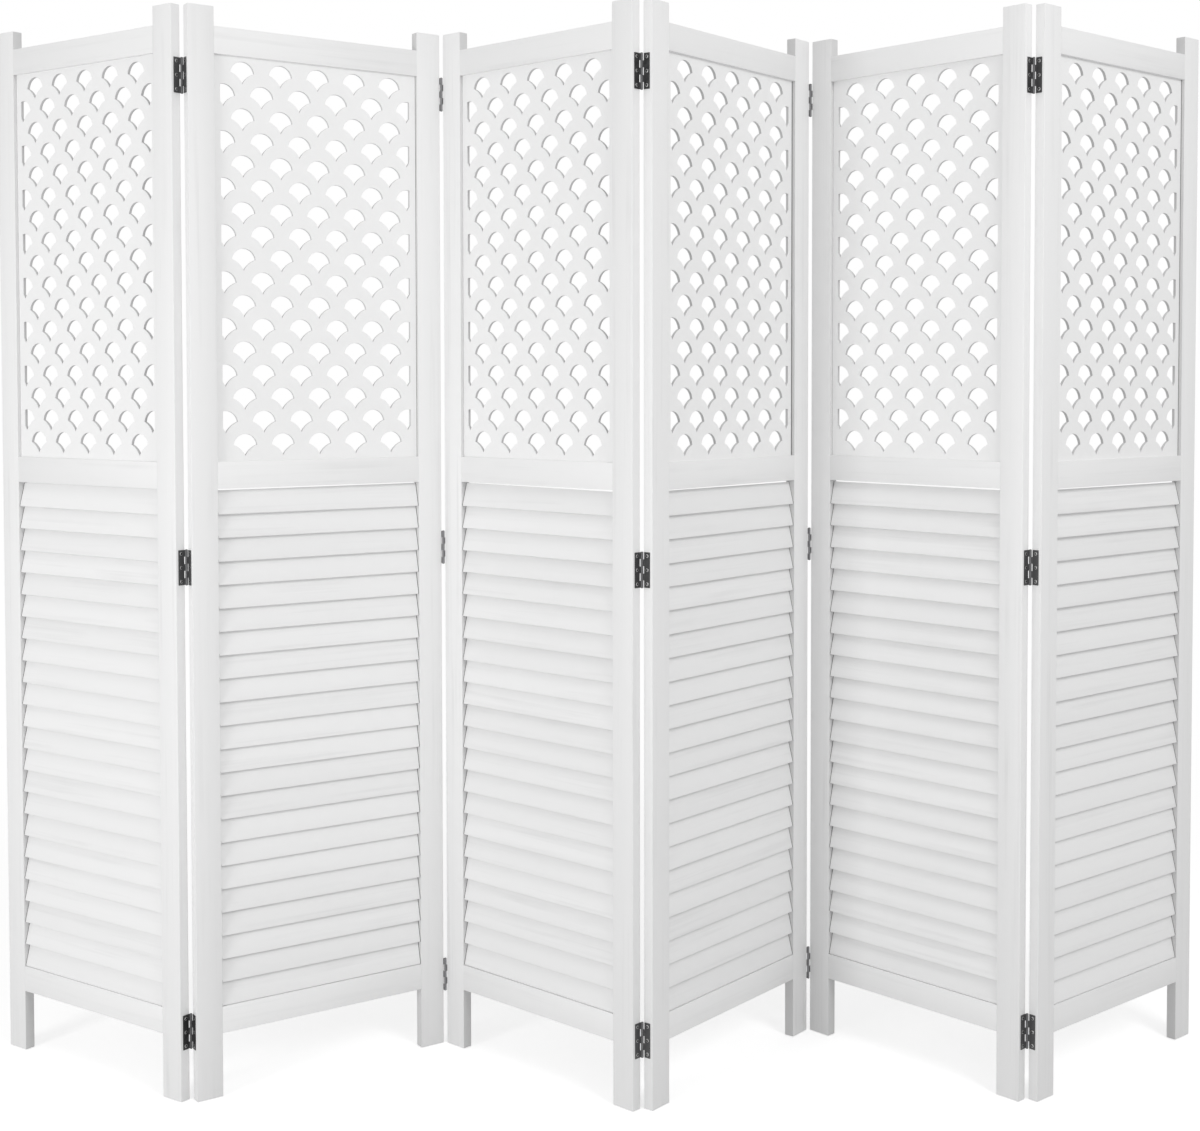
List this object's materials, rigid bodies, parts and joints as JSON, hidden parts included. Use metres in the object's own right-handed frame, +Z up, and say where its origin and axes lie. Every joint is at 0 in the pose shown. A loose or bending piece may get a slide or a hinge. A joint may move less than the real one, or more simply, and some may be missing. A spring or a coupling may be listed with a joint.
{
  "type": "folding screen",
  "caption": "Free-standing folding screen of hinged wooden panels, each with a pierced fish-scale board above and fixed louvre slats below.",
  "frame": {"origin": "on the floor, under the middle of the standing screen's bounding box", "axes": "+Z up along the hinge pins, the viewer's side faces -Y, +X to the viewer's right along the row of panels"},
  "size_m": [2.0101, 0.356, 1.7],
  "materials": {
    "painted_wood": "white satin paint, thin enough for the grain to show",
    "hinge_iron": "dark charcoal satin coating on folded steel",
    "screw_steel": "dull plated steel"
  },
  "bodies": {
    "panel_1": {"panel_1_left_stile": "painted_wood", "panel_1_right_stile": "painted_wood", "panel_1_top_rail": "painted_wood", "panel_1_mid_rail": "painted_wood", "panel_1_bottom_rail": "painted_wood", "panel_1_pierced_board": "painted_wood", "panel_1_louvres": "painted_wood", "panel_1_hinge_leaves": "hinge_iron", "panel_1_hinge_screws": "screw_steel", "panel_1_hinge_pins": "hinge_iron"},
    "panel_2": {"panel_2_left_stile": "painted_wood", "panel_2_right_stile": "painted_wood", "panel_2_top_rail": "painted_wood", "panel_2_mid_rail": "painted_wood", "panel_2_bottom_rail": "painted_wood", "panel_2_pierced_board": "painted_wood", "panel_2_louvres": "painted_wood", "panel_2_hinge_leaves": "hinge_iron", "panel_2_hinge_screws": "screw_steel", "panel_2_hinge_pins": "hinge_iron"},
    "panel_3": {"panel_3_left_stile": "painted_wood", "panel_3_right_stile": "painted_wood", "panel_3_top_rail": "painted_wood", "panel_3_mid_rail": "painted_wood", "panel_3_bottom_rail": "painted_wood", "panel_3_pierced_board": "painted_wood", "panel_3_louvres": "painted_wood", "panel_3_hinge_leaves": "hinge_iron", "panel_3_hinge_screws": "screw_steel", "panel_3_hinge_pins": "hinge_iron"},
    "panel_4": {"panel_4_left_stile": "painted_wood", "panel_4_right_stile": "painted_wood", "panel_4_top_rail": "painted_wood", "panel_4_mid_rail": "painted_wood", "panel_4_bottom_rail": "painted_wood", "panel_4_pierced_board": "painted_wood", "panel_4_louvres": "painted_wood", "panel_4_hinge_leaves": "hinge_iron", "panel_4_hinge_screws": "screw_steel", "panel_4_hinge_pins": "hinge_iron"},
    "panel_5": {"panel_5_left_stile": "painted_wood", "panel_5_right_stile": "painted_wood", "panel_5_top_rail": "painted_wood", "panel_5_mid_rail": "painted_wood", "panel_5_bottom_rail": "painted_wood", "panel_5_pierced_board": "painted_wood", "panel_5_louvres": "painted_wood", "panel_5_hinge_leaves": "hinge_iron", "panel_5_hinge_screws": "screw_steel", "panel_5_hinge_pins": "hinge_iron"},
    "panel_6": {"panel_6_left_stile": "painted_wood", "panel_6_right_stile": "painted_wood", "panel_6_top_rail": "painted_wood", "panel_6_mid_rail": "painted_wood", "panel_6_bottom_rail": "painted_wood", "panel_6_pierced_board": "painted_wood", "panel_6_louvres": "painted_wood", "panel_6_hinge_leaves": "hinge_iron", "panel_6_hinge_screws": "screw_steel"}
  },
  "joints": [
    {"name": "fold_1_2", "type": "hinge", "parent": "panel_2", "child": "panel_1", "pos_m": [-0.63588, -0.12941, 0.835], "axis": [0, 0, -1], "range_deg": [-69.5, 110.5]},
    {"name": "fold_2_3", "type": "hinge", "parent": "panel_3", "child": "panel_2", "pos_m": [-0.26942, 0.10765, 0.8445], "axis": [0, 0, 1], "range_deg": [-77, 103]},
    {"name": "fold_3_4", "type": "hinge", "parent": "panel_3", "child": "panel_4", "pos_m": [0.07024, -0.16642, 0.835], "axis": [0, 0, 1], "range_deg": [-94, 86]},
    {"name": "fold_4_5", "type": "hinge", "parent": "panel_4", "child": "panel_5", "pos_m": [0.35137, 0.16743, 0.8445], "axis": [0, 0, -1], "range_deg": [-98, 82]},
    {"name": "fold_5_6", "type": "hinge", "parent": "panel_5", "child": "panel_6", "pos_m": [0.67109, -0.12967, 0.835], "axis": [0, 0, 1], "range_deg": [-87.5, 92.5]}
  ]
}
